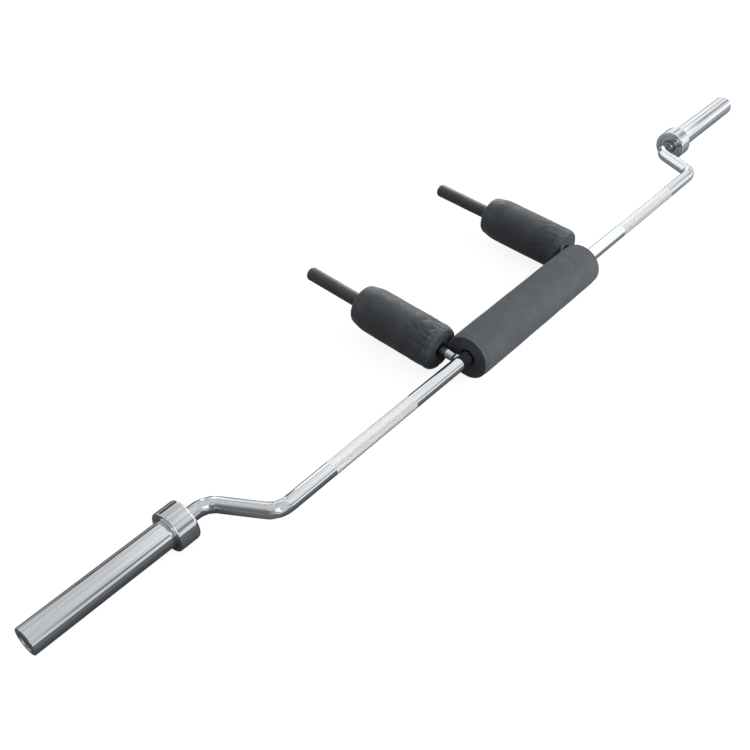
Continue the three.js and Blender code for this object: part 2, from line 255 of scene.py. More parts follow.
def padVinyl(name, look):
    fixed = {"IOR": 1.48, "Specular IOR Level": 0.4, "Sheen Weight": look["sheen"], "Sheen Roughness": 0.35}
    material, shader, add, where = startMaterial(name, fixed)
    patch = add("TexNoise", {
        "Vector": where, "Scale": 1 / (look["patch"] * mm), "Detail": 6.0, "Roughness": 0.6,
    })
    pebble = add("TexVoronoi", {"Vector": where, "Scale": 1 / (look["grain"] * mm)}, feature="SMOOTH_F1")
    crease = add("TexNoise", {
        "Vector": where, "Scale": 1 / (look["crease"] * mm), "Detail": 4.0, "Distortion": 0.6,
    })
    # paler patches: wear on the pads, a painted highlight on the sewn ridge and the hems
    wearAndHighlight = add("MapRange", {"Value": patch, "From Min": 0.4, "From Max": 0.75})
    tone = add("Mix", {0: wearAndHighlight, 6: look["body"], 7: look["wearAndHighlight"]}, data_type="RGBA")
    # the grain's hollows are painted darker: painted shade in them
    deep = add("MapRange", {"Value": pebble, "From Min": 0.25, "From Max": 0.7, "To Max": 0.55})
    full = add("Mix", {0: deep, 6: tone.outputs[2], 7: look["hollowShade"]}, data_type="RGBA")
    rough = add("MapRange", {
        "Value": crease, "From Min": 0.3, "From Max": 0.7,
        "To Min": look["roughness"][0], "To Max": look["roughness"][1],
    })
    creased = add("Bump", {"Height": crease, "Distance": look["creaseHeight"] * mm})
    grained = add("Bump", {
        "Height": pebble, "Distance": look["grainHeight"] * mm, "Normal": creased,
    }, invert=True)
    feed(shader, {"Base Color": full.outputs[2], "Roughness": rough, "Normal": grained})
    return material


# Moulded grip rubber: a dull shine over a fine even tooth that holds a little dust
rubberLook = {
    "body": "#3a3d40", "dusty": "#474a4d", "tooth": 0.7, "toothHeight": 0.04, "patch": 24,
    "roughness": 0.36, "spread": 0.08,
}

# Closed-cell foam, cut to shape: dead matt, with fine pits where the cells were cut
foamLook = dict(
    rubberLook, body="#232427", dusty="#2e2f33", tooth=1.1, toothHeight=0.3, patch=12, roughness=0.92,
)

# Extruded plastic tube: near black and smooth, with a low shine
tubeLook = dict(
    rubberLook, body="#17181a", dusty="#202124", tooth=2.5, toothHeight=0.02, patch=30, roughness=0.42,
)


def mouldedSoft(name, look):
    fixed = {"IOR": 1.5, "Specular IOR Level": 0.45, "Sheen Weight": 0.3, "Sheen Roughness": 0.4}
    material, shader, add, where = startMaterial(name, fixed)
    patch = add("TexNoise", {"Vector": where, "Scale": 1 / (look["patch"] * mm), "Detail": 4.0})
    tooth = add("TexNoise", {"Vector": where, "Scale": 1 / (look["tooth"] * mm)})
    dust = add("MapRange", {"Value": patch, "From Min": 0.35, "From Max": 0.7})
    tone = add("Mix", {0: dust, 6: look["body"], 7: look["dusty"]}, data_type="RGBA")
    rough = add("MapRange", {
        "Value": tooth,
        "To Min": look["roughness"] - look["spread"], "To Max": look["roughness"] + look["spread"],
    })
    bump = add("Bump", {"Height": tooth, "Distance": look["toothHeight"] * mm})
    feed(shader, {"Base Color": tone.outputs[2], "Roughness": rough, "Normal": bump})
    return material


# a piece's finish goes by the name of its slot in the record
finish = {
    "chrome": chromePlate("chromePlate", chromeLook),
    "sleeve_chrome": chromePlate("buffedChromePlate", sleeveLook),
    "raw_steel": turnedMetal("turnedSteel", steelLook),
    "bronze": turnedMetal("sinteredBronze", bronzeLook),
    "centre_vinyl": padVinyl("greyPadVinyl", padLook),
    "arm_vinyl": padVinyl("darkArmPadVinyl", armPadLook),
    "grip_rubber": mouldedSoft("mouldedGripRubber", rubberLook),
    "foam": mouldedSoft("closedCellFoam", foamLook),
    "plastic_tube": mouldedSoft("blackPlasticTube", tubeLook),
    # these are parts of a piece
    "knurl": chromePlate("knurledChrome", knurlLook),
    "endDisc": padVinyl("blackEndVinyl", endDiscLook),
    "welt": padVinyl("wornWeltVinyl", weltLook),
    "hem": padVinyl("wornHemVinyl", hemLook),
}
print("materials:", len(finish))


# Mesh tools

# rounds the corners of an outline of [along, radius] points; a third number is that corner's own radius
def rounded(corners, steps=5):
    outline = [corners[0][:2]]
    for before, corner, after in zip(corners, corners[1:], corners[2:]):
        size = corner[2] if len(corner) > 2 else 0
        if not size:
            outline.append(corner[:2])
            continue
        spot = Vector(corner[:2])
        back = (Vector(before[:2]) - spot).normalized()
        onward = (Vector(after[:2]) - spot).normalized()
        half = back.angle(onward) / 2
        centre = spot + (back + onward).normalized() * size / sin(half)
        first = spot + back * size / tan(half) - centre
        last = spot + onward * size / tan(half) - centre
        sweep = first.angle_signed(last)
        for i in range(steps + 1):
            arm = first.copy()
            arm.rotate(Matrix.Rotation(-sweep * i / steps, 2))
            outline.append(tuple(centre + arm))
    return outline + [corners[-1][:2]]


# splits the long runs of an outline, so that they can be shaped
def splitRuns(outline, step):
    points = [outline[0]]
    for start, end in zip(outline, outline[1:]):
        count = max(1, round(dist(start, end) / step))
        for i in range(1, count + 1):
            points.append(tuple(Vector(start).lerp(Vector(end), i / count)))
    return points


# turns an outline round the X axis; a closed one makes a ring
def turned(outline, sides, closed=False):
    points, rings, faces = [], [], []
    for along, radius in outline:
        count = 1 if radius == 0 else sides
        rings.append([len(points) + i for i in range(count)])
        for i in range(count):
            angle = tau * i / sides
            points.append(Vector((along, radius * cos(angle), radius * sin(angle))))
    pairs = list(zip(rings, rings[1:]))
    if closed:
        pairs.append((rings[-1], rings[0]))
    for first, last in pairs:
        for i in range(sides):
            corners = [first[i % len(first)], first[(i + 1) % len(first)],
                       last[(i + 1) % len(last)], last[i % len(last)]]
            faces.append(list(dict.fromkeys(corners)))
    return points, faces


# quads between rows of points, each row a closed loop; a wrapped grid also joins its last row to its first
def gridFaces(rows, count, wrapped=False):
    faces = []
    for row in range(rows if wrapped else rows - 1):
        here, there = row * count, (row + 1) % rows * count
        for i in range(count):
            k = (i + 1) % count
            faces.append([here + i, here + k, there + k, there + i])
    return faces


def fromAxis(point):
    return hypot(point.y, point.z)


# moves a point out from the X axis
def lifted(point, by):
    swell = 1 + by / fromAxis(point)
    return Vector((point.x, point.y * swell, point.z * swell))


# makes an object of a shape in millimetres, sets it on its body and lets it stand for CAD nodes
def addPiece(name, shape, place, body, slot, nodes, keen=35, look=None):
    points, faces = shape
    mesh = bpy.data.meshes.new(name)
    mesh.from_pydata([point * mm for point in points], [], faces)
    skin = bmesh.new()
    skin.from_mesh(mesh)
    bmesh.ops.recalc_face_normals(skin, faces=skin.faces)
    skin.to_mesh(mesh)
    skin.free()
    for face in mesh.polygons:
        face.use_smooth = True
    mesh.set_sharp_from_angle(angle=radians(keen))
    mesh.materials.append(finish[look or slot])
    piece = addObject(name, mesh)
    piece.matrix_world = place
    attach(piece, body)
    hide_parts(*nodes)
    return piece


# Shaft: one bent bar with two knurled bands, a turned journal at each end

shaft = {
    "radius": 14.3, "sides": 96,
    "middleRun": 715, "crankRun": 61, "bendRadius": 40, "bendSteps": 30,
    "waver": 0.7,  # the wall puckers where it was bent: height, and size along and round the bar
    "waverRun": 10, "waverRound": 5,
    "waverRise": 4,  # it is full an eighth of the way into a bend
    "knurlStart": 372.6, "knurlEnd": 589.7, "knurlRise": 0.2, "knurlCut": 0.28,
    "shoulderEdge": 0.6, "journalRadius": 12.7, "journalNose": 4, "journalChamfer": 1.5,
    "grooveRadius": 11.3,
}
crankSlope = atan2(crank.length / mm, shaft["crankRun"])
bendTangent = shaft["bendRadius"] * tan(crankSlope / 2)
bendLength = shaft["bendRadius"] * crankSlope
crankStraight = hypot(crank.length / mm, shaft["crankRun"]) - 2 * bendTangent
bendOneStart = shaft["middleRun"] - bendTangent
bendOneEnd = bendOneStart + bendLength
bendTwoStart = bendOneEnd + crankStraight
bendTwoEnd = bendTwoStart + bendLength


# the middle of the bar at a distance along it, and the way it heads there
def barLine(distance):
    far, bend = abs(distance), shaft["bendRadius"]
    first = min(max(far - bendOneStart, 0), bendLength) / bend
    second = min(max(far - bendTwoStart, 0), bendLength) / bend
    straight = min(max(far - bendOneEnd, 0), crankStraight)
    outer = max(far - bendTwoEnd, 0)
    x = min(far, bendOneStart) + bend * sin(first) + straight * cos(crankSlope)
    y = bend * (1 - cos(first)) + straight * sin(crankSlope)
    x += bend * (sin(crankSlope) - sin(crankSlope - second)) + outer
    y += bend * (cos(crankSlope - second) - cos(crankSlope))
    side = 1 if distance >= 0 else -1
    return Vector((side * x, y, 0)), side * (first - second)


def barRings():
    outerStart = bendTwoEnd + collarFace / mm - barLine(bendTwoEnd)[0].x
    full, small, start, end = (shaft[key] for key in ("radius", "journalRadius", "knurlStart", "knurlEnd"))
    pitch = tau * full / shaft["sides"]  # half a diamond, coarser than real ones so that they show
    rows = 2 * round((end - start) / pitch / 2)
    rings = [(0, full, None)]
    for row in range(rows + 1):
        rings.append((start + (end - start) * row / rows, full, row if 0 < row < rows else None))
    for bend in (bendOneStart, bendTwoStart):
        for step in range(shaft["bendSteps"] + 1):
            rings.append((bend + bendLength * step / shaft["bendSteps"], full, None))
    journalEnd = endsOnSleeve("right_end_cap")[0] - shaft["journalNose"]
    grooveEnd = journalEnd - shaft["journalNose"]
    grooveStart = endsOnSleeve("right_outer_washer")[1]
    shoulder = endsOnSleeve("right_sleeve")[0]
    edge, chamfer, deep = shaft["shoulderEdge"], shaft["journalChamfer"], shaft["grooveRadius"]
    for along, radius in (
        (shoulder - edge, full), (shoulder, full - edge), (shoulder, small), (grooveStart, small),
        (grooveStart, deep), (grooveEnd, deep), (grooveEnd, small), (journalEnd - chamfer, small),
        (journalEnd, small - chamfer), (journalEnd, 0),
    ):
        rings.append((outerStart + along, radius, None))
    mirrored = [(-along, radius, row) for along, radius, row in rings[1:]]
    return mirrored[::-1] + rings


# how far the bent wall stands out of true
def pucker(along, angle):
    far = abs(along)
    inBend = max(1 - abs(2 * (far - start) / bendLength - 1) for start in (bendOneStart, bendTwoStart))
    if inBend <= 0:
        return 0
    spot = Vector((along / shaft["waverRun"], cos(angle), sin(angle)))
    spot.yz *= shaft["radius"] / shaft["waverRound"]
    return shaft["waver"] * min(1, shaft["waverRise"] * inBend) * noise.noise(spot)


def makeShaft():
    sides = shaft["sides"]
    points, faces, knurled, starts = [], [], [], []
    rings = barRings()
    for along, radius, row in rings:
        centre, heading = barLine(along)
        across = Vector((-sin(heading), cos(heading), 0))
        count = 1 if radius == 0 else sides
        starts.append(len(points))
        for i in range(count):
            angle = tau * i / sides
            lift = pucker(along, angle)
            if row is not None:
                lift = shaft["knurlRise"] if (i + row) % 2 else -shaft["knurlCut"]
            spoke = across * cos(angle) + Vector((0, 0, sin(angle)))
            points.append(centre + spoke * (radius + lift))
    for near, far, here, there in zip(rings, rings[1:], starts, starts[1:]):
        inKnurl = near[2] is not None or far[2] is not None
        for i in range(sides):
            k = (i + 1) % sides
            quad = [here + i, here + k, there + k, there + i]
            if near[1] == 0:
                faces.append([here, there + k, there + i])
            elif far[1] == 0:
                faces.append([here + i, here + k, there])
            elif not inKnurl:
                faces.append(quad)
            else:
                row = near[2] if near[2] is not None else far[2] - 1
                if (i + row) % 2:  # the flutes run from low corner to low corner
                    quad = quad[1:] + quad[:1]
                knurled += [len(faces), len(faces) + 1]
                faces += [[quad[0], quad[1], quad[2]], [quad[0], quad[2], quad[3]]]
    piece = addPiece("bentShaft", (points, faces), crankedPlace, "bar", "chrome", ["shaft"])
    piece.data.materials.append(finish["knurl"])
    for index in knurled:
        piece.data.polygons[index].material_index = 1
        piece.data.polygons[index].use_smooth = False


makeShaft()
print("shaft: bent and knurled")


# Sleeves, collars and what they hold

sleeve = {"radius": 25, "bore": 17, "chamfer": 1, "chamferEdge": 0.3, "edge": 0.6, "sides": 128}
collar = {
    "radius": 37.5, "edge": 1.8, "boreEdge": 0.8, "sides": 160,
    "gap": 0.3,  # between its bore and the sleeve
    "innerBevel": (3.6, 0.95),  # along and down, towards the shaft
    "outerBevel": (2.2, 0.8),
    "bevelEdge": 0.2,
}
cap = {
    "radius": 16.7, "edge": 0.5, "chamfer": 1.2, "chamferEdge": 0.3,
    "dimple": 1.6, "dimpleRadius": 3.2, "dimpleEdge": 0.4, "sides": 72,
}
bushing = {"radius": 16.7, "bore": 13, "edge": 0.6, "sides": 72}  # in the order that ringShape takes them
washer = dict(bushing, edge=0.3)
retainer = {"radius": 15.2, "bore": 11.6, "mouth": 9, "edge": 0.3, "sides": 72}


# the section of a plain ring with softened edges
def ringSection(start, end, radius, bore, edge, steps=3):
    return rounded([
        (start, bore), (start, radius, edge), (end, radius, edge), (end, bore, edge), (start, bore, edge),
        (start, radius),
    ], steps)[1:-1]


def ringShape(start, end, radius, bore, edge, sides):
    return turned(ringSection(start, end, radius, bore, edge), sides, closed=True)


# a ring given by its corners, from one end of its bore to the other; it is closed in the middle of the bore
def corneredRing(corners, steps, sides):
    middle, bore = (corners[0][0] + corners[-1][0]) / 2, corners[0][1]
    return turned(rounded([(middle, bore), *corners, (middle + 1, bore)], steps), sides, closed=True)


def makeSleeve(side):
    place, body = sleevePlace(side), side + "_plate_sleeve"

    def addOnSleeve(name, shape, slot, node, rides=body):
        addPiece(side + name, shape, place, rides, slot, [side + node])

    start, end = endsOnSleeve(side + "_sleeve")
    radius, bore, edge, chamfer = sleeve["radius"], sleeve["bore"], sleeve["edge"], sleeve["chamfer"]
    addOnSleeve("SleeveTube", corneredRing([
        (start, bore, edge), (start, radius, edge), (end - chamfer, radius, sleeve["chamferEdge"]),
        (end, radius - chamfer, sleeve["chamferEdge"]), (end, bore, edge),
    ], 4, sleeve["sides"]), "sleeve_chrome", "_sleeve")

    start, end = endsOnSleeve(side + "_collar")
    bore = sleeve["radius"] + collar["gap"]
    radius, edge, bevel = collar["radius"], collar["edge"], collar["bevelEdge"]
    (inRun, inDrop), (outRun, outDrop) = collar["innerBevel"], collar["outerBevel"]
    addOnSleeve("PlateCollar", corneredRing([
        (start, bore, collar["boreEdge"]), (start, radius - inDrop, edge), (start + inRun, radius, bevel),
        (end - outRun, radius, bevel), (end, radius - outDrop, edge), (end, bore, collar["boreEdge"]),
    ], 6, collar["sides"]), "sleeve_chrome", "_collar")

    start, end = endsOnSleeve(side + "_end_cap")
    radius, chamfer = cap["radius"], cap["chamfer"]
    addOnSleeve("EndCap", turned(rounded([
        (start, 0), (start, radius, cap["edge"]), (end - chamfer, radius, cap["chamferEdge"]),
        (end, radius - chamfer, cap["chamferEdge"]), (end, cap["dimpleRadius"], cap["dimpleEdge"]),
        (end - cap["dimple"], 0),
    ], 4), cap["sides"]), "sleeve_chrome", "_end_cap")

    for which in ("inner", "outer"):
        for kind, size, slot, rides in (
            ("bushing", bushing, "bronze", body), ("washer", washer, "raw_steel", "bar"),
        ):
            node = f"_{which}_{kind}"
            shape = ringShape(*endsOnSleeve(side + node), *size.values())
            addOnSleeve(which.title() + kind.title(), shape, slot, node, rides)

    shape = retainerShape(*endsOnSleeve(side + "_retaining_ring"))
    addOnSleeve("RetainingRing", shape, "raw_steel", "_retaining_ring", "bar")


# a sprung ring with an open mouth, its corners softened
def retainerShape(start, end):
    points, steps = [], retainer["sides"]
    mouth = asin(retainer["mouth"] / 2 / retainer["radius"])
    section = ringSection(start, end, retainer["radius"], retainer["bore"], retainer["edge"], 2)
    for step in range(steps + 1):
        angle = mouth + (tau - 2 * mouth) * step / steps
        for along, radius in section:
            points.append(Vector((along, radius * cos(angle), radius * sin(angle))))
    count = len(section)
    ends = [list(range(count)), [steps * count + i for i in range(count)]]
    return points, gridFaces(steps + 1, count) + ends


for side in ("left", "right"):
    makeSleeve(side)
print("sleeves: turned")


# Arms: a plated rod welded to the shaft, its grip and its roll pad

arm = {"rodRadius": 9.75, "rodEnd": 393.5, "rodEdge": 1.2, "sides": 64, "saddleGap": 0.3}
weld = {
    "leg": 3.6, "edge": 0.5, "crown": 0.7, "gap": 0.1, "sides": 208, "steps": 7,
    "ripples": 26, "rippleHeight": 0.22,
    "rippleLean": 2.2,  # how far a ripple slants from the bead's foot to its head, in radians of its wave
}
grip = {
    "radius": 14.3, "tipRadius": 14.6, "start": 238.5, "end": 400.5, "tipRound": 7, "mouthRound": 0.8,
    "bore": 10.05, "boreEnd": 393.8, "boreEdge": 0.6, "boreRound": 1, "sides": 72, "step": 4,
    "waviness": 0.12, "wavePatch": 22,
}
innerTube = {"start": 60.5, "end": 238.2, "radius": 14.3, "bore": 10.05, "edge": 0.4, "sides": 64}


# how far out the shaft's skin is, seen along an arm
def saddle(height, gap=0):
    reach = shaft["radius"] + gap
    return sqrt(max(reach * reach - height * height, 0))


def addOnArm(side, name, shape, slot, node, **more):
    return addPiece(side + name, shape, armPlace(side), "bar", slot, [side + node], **more)


def makeArmRod(side):
    points, faces = turned(rounded([
        (0, 0), (0, arm["rodRadius"]), (arm["rodEnd"], arm["rodRadius"], arm["rodEdge"]), (arm["rodEnd"], 0),
    ], 4), arm["sides"])
    for point in points:
        if point.x == 0:
            point.x = saddle(point.z, arm["saddleGap"])
    addOnArm(side, "ArmRod", (points, faces), "chrome", "_arm_rod")


# weld metal laid in overlapping ripples round the rod's foot, plated over with the rest
def makeWeld(side):
    inner, outer = arm["rodRadius"] + arm["saddleGap"] / 2, arm["rodRadius"] + weld["leg"]
    points = []
    for i in range(weld["sides"]):
        angle = tau * i / weld["sides"]
        spoke = Vector((0, cos(angle), sin(angle)))
        foot = spoke * outer
        foot.x = saddle(foot.z, weld["gap"])
        head = spoke * (inner + weld["edge"] / 2)
        head.x = shaft["radius"] + weld["leg"]
        out = (spoke + Vector((1, 0, 0))).normalized()
        for step in range(weld["steps"] + 1):
            share = step / weld["steps"]
            swell = sin(pi * share)
            ripple = abs(sin(weld["ripples"] * angle / 2 + weld["rippleLean"] * share))
            lift = swell * (weld["crown"] + weld["rippleHeight"] * ripple) - swell * weld["rippleHeight"]
            points.append(foot.lerp(head, share) + out * lift)
        root = spoke * inner
        root.x = saddle(root.z, weld["gap"])
        points.append(root)
    faces = gridFaces(weld["sides"], weld["steps"] + 2, wrapped=True)
    addOnArm(side, "ArmWeld", (points, faces), "raw_steel", "_arm_weld", look="chrome")


def makeGrip(side):
    size = grip
    outline = rounded([
        (size["boreEnd"], 0), (size["boreEnd"], size["bore"], size["boreRound"]),
        (size["start"], size["bore"], size["boreEdge"]), (size["start"], size["radius"], size["mouthRound"]),
        (size["end"], size["tipRadius"], size["tipRound"]), (size["end"], 0),
    ], 8)
    points, faces = turned(splitRuns(outline, size["step"]), size["sides"])
    for i, point in enumerate(points):
        if fromAxis(point) > size["radius"] - 1:  # moulded rubber is never dead true
            points[i] = lifted(point, size["waviness"] * noise.noise(point / size["wavePatch"]))
    addOnArm(side, "HandGrip", (points, faces), "grip_rubber", "_hand_grip")


for side in ("left", "right"):
    makeArmRod(side)
    makeWeld(side)
    makeGrip(side)
    tube = ringShape(*innerTube.values())
    addOnArm(side, "ArmPadTube", tube, "plastic_tube", "_arm_pad_inner_tube")
print("arms: rods, welds and grips")


# Pads: a vinyl cover over foam, turned in at both ends to the bore

centrePad = {
    "half": padHigh.x / mm,
    "bore": 19,
    "boreStep": 4,  # from there out to where the cover's inside turns down the end
    "lip": 17.2,  # the cover turns in tighter than the foam behind it
    "lipRound": 2, "lipRun": 6, "lipSkin": 0.4,
    "skin": 3,
    "corner": 3,  # cut off the inside's edge
    "dish": 2,  # how far the end face stands back
    "faceMiddle": 32,  # a radius half way down the end face
    "welt": 1.9,  # radius of the sewn ridge round the end face
    "weltDrop": 2.9,  # from the cover's full radius down to the ridge's centre
    "weltBack": 2.6,  # from the pad's end to the ridge's centre
    "weltFoot": 1.3,  # radii of the ridge from its centre down to where the face begins
    "weltArc": (-60, 200, 8),  # degrees, where it begins and how far it goes round, and its steps
    "weltMargin": 0.2,  # the ridge's paler vinyl, a painted highlight, reaches this much past it
    "drawIn": ((6, 1.5), (9, 0.7), (14, 0.2), (20, 0)),  # from the end, and how far below full radius
    # the end's vinyl is darker, partly painted shade
    "endDepth": 12,  # faces this near the end and inside the ridge have the end's vinyl
    "floor": -barAxis.z / mm,
    "press": 2,  # how softly the flat on the floor runs out
    "sides": 144, "step": 4.5,
    "unevenness": 0.35, "unevenPatch": 45,
    "evenInside": 0.8,  # share of the radius
}
# the middle of the sewn ridge's section
centreRidge = Vector((centrePad["half"] - centrePad["weltBack"], padRadius - centrePad["weltDrop"]))
centreTube = {"start": -190.25, "end": 190.25, "radius": 18.7, "bore": 14.6, "edge": 0.6, "sides": 96}
padFilling = {"gap": 0.3, "sides": 96}
armPad = {
    "start": padRadius + 0.8,
    "end": padRadius + 204.8,
    "radius": 47, "bore": 14.6, "boreSkin": 0.4,
    "boreRun": 5,  # how far the cover runs into the bore
    "boreRound": (2, 1),  # at the heel and at the nose
    "boreStill": 2.5,  # no bumps this near the bore
    "skin": 3, "crown": 0.6,
    "heelBack": 1.6,  # how far the heel's rim stands back from its middle
    "heelStep": 1, "heelMiddle": 34, "heelDish": 20, "heelRound": 9.5,
    "nose": 30,  # length of the tapered end
    "noseTip": 41,  # radius of its flat face
    "noseRound": 60, "tipRound": 6,
    "hem": 17,  # from the heel to the ridge where the hem ends
    "hemRise": 0.45, "hemWidth": 3, "hemStart": 2,
    "sides": 96, "step": 3.4,
    "unevenness": 0.5, "unevenPatch": 40,
}
# the cover is cut too full at the heel and sewn round the rim, so the spare cloth folds there
spareCloth = {
    "fullness": {"left": 1, "right": 0.75},
    "seed": {"left": 3.7, "right": 9.1},
    "share": 0.12,  # by how much it is cut too large
    "run": 50,  # from the heel to where the cover is tight
    "settle": 34,  # past that, the folds fade into the rest of the cover over this length
    "foldDepth": 2.2, "foldHeight": 1.0,
    "patch": 34,  # the spare cloth comes in patches of this size, with the least of it between them
    "patchLevel": 0.5, "patchSwing": 1.6, "least": 0.35,
    "seamHold": 0.85,
    "seamRings": 3,  # rings of points on either side of the seam that it keeps tight
    "shake": 1.2,  # how uneven the cloth is before it folds
    "shakePatch": 13, "frames": 25,
    "scale": 10,  # the solver is steadier on cloth this much larger
    "wall": {"thickness_outer": 0.002, "cloth_friction": 2},
    "contact": {"distance_min": 0.004, "use_self_collision": False},
    "solver": {
        "quality": 5, "mass": 0.1, "tension_stiffness": 30, "compression_stiffness": 30, "shear_stiffness": 8,
        "bending_stiffness": 0.2, "air_damping": 1.5, "pin_stiffness": 1, "shrink_max": 0,
        "vertex_group_mass": "held", "vertex_group_shrink": "tight",
    },
}


# an outline redrawn in steps of one length
def evenSteps(outline, step):
    lengths = [0]
    for start, end in zip(outline, outline[1:]):
        lengths.append(lengths[-1] + dist(start, end))
    count = round(lengths[-1] / step)
    points, k = [], 0
    for i in range(count + 1):
        run = lengths[-1] * i / count
        while k < len(outline) - 2 and lengths[k + 1] < run:
            k += 1
        share = (run - lengths[k]) / (lengths[k + 1] - lengths[k])
        points.append(tuple(Vector(outline[k]).lerp(Vector(outline[k + 1]), share)))
    return points


# the surface of an outline, moved out along its normals
def movedOut(outline, sides, by):
    moved = []
    for before, (along, radius), after in zip(outline[:1] + outline, outline, outline[1:] + outline[-1:]):
        way = (Vector(after) - Vector(before)).normalized()
        moved.append((along - way.y * by, radius + way.x * by))
    return turned(moved, sides)


def looseObject(name, points, faces):
    mesh = bpy.data.meshes.new(name)
    mesh.from_pydata([point * mm * spareCloth["scale"] for point in points], [], faces)
    return addObject(name, mesh)


# lets the spare cloth at an outline's first end fold, between the foam under it and the pull of the seam
def foldedEnd(outline, sides, seed, fullness):
    spare, scene = spareCloth, bpy.context.scene
    points, faces = turned(outline, sides)
    origin = outline[0][0] - armPad["boreRun"]
    rings = [k for k in range(len(outline) // 2) if outline[k][0] < origin + spare["run"] + spare["settle"]]
    count = len(rings) * sides
    loose, few = points[:count], [face for face in faces if max(face) < count]
    seam = max(rings, key=lambda k: outline[k][1] - abs(outline[k][0] - origin))

    def shaken(point):
        spot = point / spare["shakePatch"] + seed
        return point + spare["shake"] * noise.noise_vector(spot)

    cloth = looseObject("cover", [shaken(point) for point in loose], few)
    foam = movedOut(outline, sides, -spare["foldDepth"] * fullness)[0][:count]
    limit = movedOut(outline, sides, spare["foldHeight"] * fullness)[0][:count]
    # one object for both walls, so that they push in the same order every time
    walls = looseObject("walls", foam + limit, few + [[count + i for i in face[::-1]] for face in few])
    walls.modifiers.new("walls", "COLLISION")
    setAll(walls.collision, spare["wall"])
    held, tight = cloth.vertex_groups.new(name="held"), cloth.vertex_groups.new(name="tight")
    for i, point in enumerate(loose):
        ring = i // sides
        if ring < 2:
            held.add([i], 1, "REPLACE")
        elif ring == seam:
            held.add([i], spare["seamHold"], "REPLACE")
        near = max(0, 1 - (point.x - origin) / spare["run"]) * min(1, abs(ring - seam) / spare["seamRings"])
        patch = spare["patchLevel"] + spare["patchSwing"] * noise.noise(point / spare["patch"] + seed)
        slack = spare["least"] + (1 - spare["least"]) * min(max(patch, 0), 1)
        tight.add([i], 1 - near * slack, "REPLACE")
    folds = cloth.modifiers.new("folds", "CLOTH")
    setAll(folds.settings, spare["solver"])
    setAll(folds.collision_settings, spare["contact"])
    folds.settings.shrink_min = -spare["share"] * fullness
    folds.settings.effector_weights.gravity = 0
    first = scene.frame_current
    for step in range(spare["frames"]):
        scene.frame_set(first + step)
    settled = cloth.evaluated_get(bpy.context.evaluated_depsgraph_get()).to_mesh()
    folded = [vertex.co / (mm * spare["scale"]) for vertex in settled.vertices]
    scene.frame_set(first)
    for made in (cloth, walls):
        bpy.data.meshes.remove(made.data)
    for i, spot in enumerate(folded):
        past = min(max((points[i].x - origin - spare["run"]) / spare["settle"], 0), 1)
        points[i] = spot.lerp(points[i], past * past * (3 - 2 * past))
    return points


# closes a cover with its inside, and lets a rule shape the outside
def padSkin(outside, inside, sides, shaped, worked=None):
    points, faces = turned(outside + inside[::-1], sides, closed=True)
    outer = len(outside) * sides
    points = (worked or points[:outer]) + points[outer:]
    return [shaped(point) if i < outer else point for i, point in enumerate(points)], faces


# foam fills the skin, a gap inside it; both share the bore
def padFoam(inside, bore):
    middle = (inside[0][0] + inside[-1][0]) / 2
    outline = []
    for along, radius in inside:
        drawn = along - copysign(padFilling["gap"], along - middle)
        outline.append((drawn, max(radius - padFilling["gap"], bore)))
    return turned(outline + [outline[0]], padFilling["sides"])


def centrePadOutlines():
    size = centrePad
    face, lip, corner = size["half"] - size["dish"], size["lip"], size["corner"]
    mouth, middle = face - size["lipRun"], size["faceMiddle"]
    end = rounded([(mouth, lip), (face, lip, size["lipRound"]), (face, middle), centreRidge], 4)[:-1]
    end.append((face, centreRidge.y - size["welt"] * size["weltFoot"]))
    first, sweep, steps = size["weltArc"]
    for i in range(steps + 1):
        angle = radians(first + sweep * i / steps)
        end.append((centreRidge.x + size["welt"] * cos(angle), centreRidge.y + size["welt"] * sin(angle)))
    end += [(size["half"] - back, padRadius - drop) for back, drop in size["drawIn"]]
    insideEnd, insideRadius = face - size["skin"], padRadius - size["skin"]
    inner = [(mouth, lip + size["lipSkin"]), (insideEnd, size["bore"] + size["boreStep"]),
             (insideEnd, insideRadius - corner), (insideEnd - corner, insideRadius)]
    outside, inside = ([(-x, r) for x, r in half] + half[::-1] for half in (end, inner))
    return splitRuns(outside, size["step"]), inside


def makeCentrePad():
    size = centrePad
    outside, inside = centrePadOutlines()

    def shaped(point):
        if fromAxis(point) > padRadius * size["evenInside"]:
            point = lifted(point, size["unevenness"] * noise.noise(point / size["unevenPatch"]))
        sunk, soft = size["floor"] - point.z, size["press"]  # pressed flat where it lies on the floor
        if sunk > -soft:
            point.z = size["floor"] + max(soft - sunk, 0) ** 2 / (4 * soft)
        return point

    place = Matrix.Translation(barAxis)
    shape = padSkin(outside, inside, size["sides"], shaped)
    piece = addPiece("centrePadSkin", shape, place, "bar", "centre_vinyl", ["centre_pad_cover"], keen=60)
    piece.data.materials.append(finish["endDisc"])
    piece.data.materials.append(finish["welt"])
    for face in piece.data.polygons:
        centre = face.center / mm
        out, radius = abs(centre.x), fromAxis(centre)
        # the sewn ridge gets the paler vinyl, a painted highlight
        if dist((out, radius), centreRidge) < size["welt"] + size["weltMargin"]:
            face.material_index = 2
        # the end face gets the darker vinyl, partly painted shade
        elif out > size["half"] - size["endDepth"] and radius < centreRidge.y:
            face.material_index = 1
    tube = ringShape(*centreTube.values())
    addPiece("centrePadTube", tube, place, "bar", "plastic_tube", ["centre_pad_inner_tube"])
    addPiece("centrePadFoam", padFoam(inside, size["bore"]), place, "bar", "foam", ["centre_pad_foam"])


